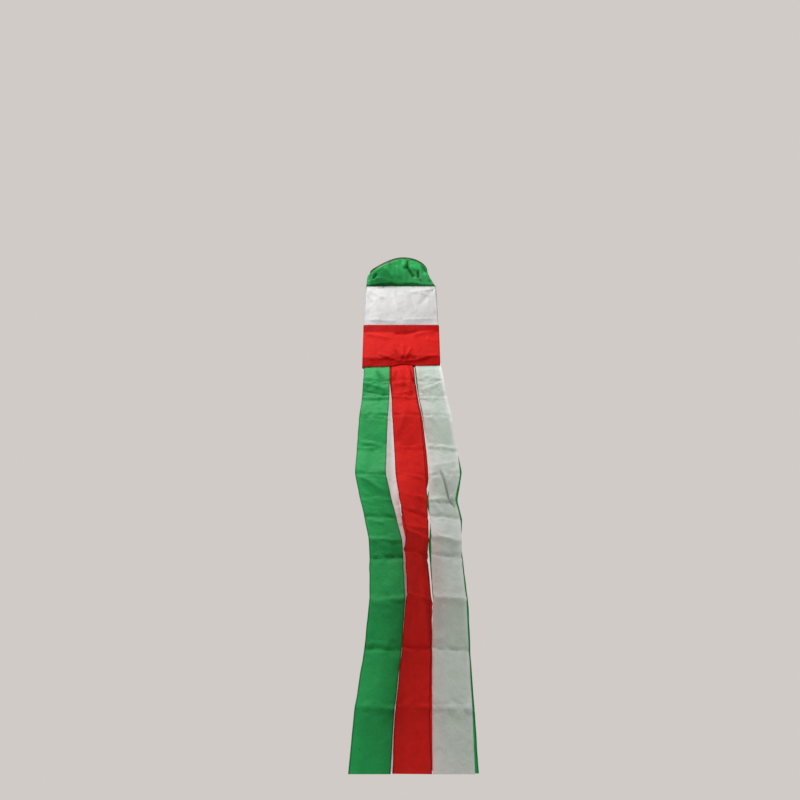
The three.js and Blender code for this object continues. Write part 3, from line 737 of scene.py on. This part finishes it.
upper = white_row(SEAM_1 - SEAM_STITCHES)
lower = red_row(SEAM_2 - SEAM_STITCHES)
tail = red_row(TAIL + TAIL_HEM - STITCHES_IN)
stitch_rows = {
    "stitches_casing_upper": (*casing_line(-CASING_STITCHES[0]), False, "green", "thread_casing_upper"),
    "stitches_casing_lower": (*casing_line(-CASING_STITCHES[1]), False, "green", "thread_casing_lower"),
    "stitches_upper_seam": (upper, outward(upper), True, "white", "thread_upper_seam"),
    "stitches_lower_seam": (lower, outward(lower), True, "red", "thread_lower_seam"),
    "stitches_tail": (tail, outward(tail), True, "red", "thread_tail"),
}
stitched = {}
for name, (line, normals, closed, color, node) in stitch_rows.items():
    stitched[name] = dress(stitches(name, line, normals, closed), color + "_thread")
    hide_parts(node)

for node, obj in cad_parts.items():
    if node == "hoop_wire":
        dress(obj, "wire")
    elif node == "hoop_sleeve":
        dress(obj, "sleeve")
    elif node.startswith("eyelet"):
        dress(obj, "eyelet")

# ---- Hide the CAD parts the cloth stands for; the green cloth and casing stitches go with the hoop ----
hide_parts("hoop_casing", "band_green")
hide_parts("band_white")
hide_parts("band_red", "seam_fold", "tail_hem")
for node, obj in ribbons.items():
    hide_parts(node)


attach(green, "hoop")
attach(stitched["stitches_casing_upper"], "hoop")
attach(stitched["stitches_casing_lower"], "hoop")
for piece in (white, stitched["stitches_upper_seam"]):
    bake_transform(piece)
for piece in (red, stitched["stitches_lower_seam"], stitched["stitches_tail"]):
    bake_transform(piece)
for node, obj in ribbons.items():
    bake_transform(obj)

# ---- Floor, light and background ----
def plain_material(name, color):
    material = bpy.data.materials.new(name)
    material.use_nodes = True
    make = node_maker(material)
    place = make("ShaderNodeTexCoord").outputs["Object"]
    specks = make("ShaderNodeTexNoise", {"Vector": place, "Scale": 3.0, "Detail": 2.0})
    darker = (*[c * 0.97 for c in color], 1)
    tone = make("ShaderNodeMix", {0: specks.outputs["Fac"], 6: darker, 7: (*color, 1)}, data_type="RGBA")
    shader = make("ShaderNodeBsdfPrincipled", {"Base Color": tone.outputs[2], "Roughness": 0.9})
    make("ShaderNodeOutputMaterial", {"Surface": shader.outputs[0]})
    return material


FLOOR_Z = -1.95
FLOOR_R = 4.0
turns = np.linspace(0, 2 * math.pi, 65)[:-1]
circle = [(FLOOR_R * math.cos(a), FLOOR_R * math.sin(a), FLOOR_Z) for a in turns]
floor_mesh = bpy.data.meshes.new("floor")
floor_mesh.from_pydata(circle, [], [tuple(range(len(circle)))])
floor = bpy.data.objects.new("floor", floor_mesh)
floor_mesh.materials.append(plain_material("floor", (0.63, 0.6, 0.57)))
bpy.context.scene.collection.objects.link(floor)


def area_light(name, place, target, size, power, color=(1, 1, 1)):
    light = bpy.data.lights.new(name, "AREA")
    light.size = size
    light.energy = power
    light.color = color
    obj = bpy.data.objects.new(name, light)
    obj.location = place
    obj.rotation_euler = (Vector(target) - Vector(place)).to_track_quat("-Z", "Y").to_euler()
    obj.visible_camera = False
    bpy.context.scene.collection.objects.link(obj)
    return obj


area_light("key", (-0.5, -0.9, 0.95), (0, 0, -0.3), 0.55, 44)
area_light("fill", (1.3, -1.2, -0.3), (0, 0, -0.4), 1.2, 7)
area_light("behind", (0.4, 1.8, 0.6), (0, 0, -0.5), 1.2, 46)

BACKGROUND = (0.632, 0.597, 0.571)  # what the camera sees
AMBIENT = (0.25, 0.25, 0.26)  # what lights the object
world = bpy.data.worlds.new("studio")
bpy.context.scene.world = world
world.use_nodes = True
world_nodes = world.node_tree
world_nodes.nodes.clear()
seen = world_nodes.nodes.new("ShaderNodeBackground")
seen.inputs[0].default_value = (*BACKGROUND, 1)
lit = world_nodes.nodes.new("ShaderNodeBackground")
lit.inputs[0].default_value = (*AMBIENT, 1)
path = world_nodes.nodes.new("ShaderNodeLightPath")
choose = world_nodes.nodes.new("ShaderNodeMixShader")
output = world_nodes.nodes.new("ShaderNodeOutputWorld")
world_nodes.links.new(path.outputs["Is Camera Ray"], choose.inputs[0])
world_nodes.links.new(lit.outputs[0], choose.inputs[1])
world_nodes.links.new(seen.outputs[0], choose.inputs[2])
world_nodes.links.new(choose.outputs[0], output.inputs[0])
bpy.context.scene.view_settings.view_transform = "Standard"
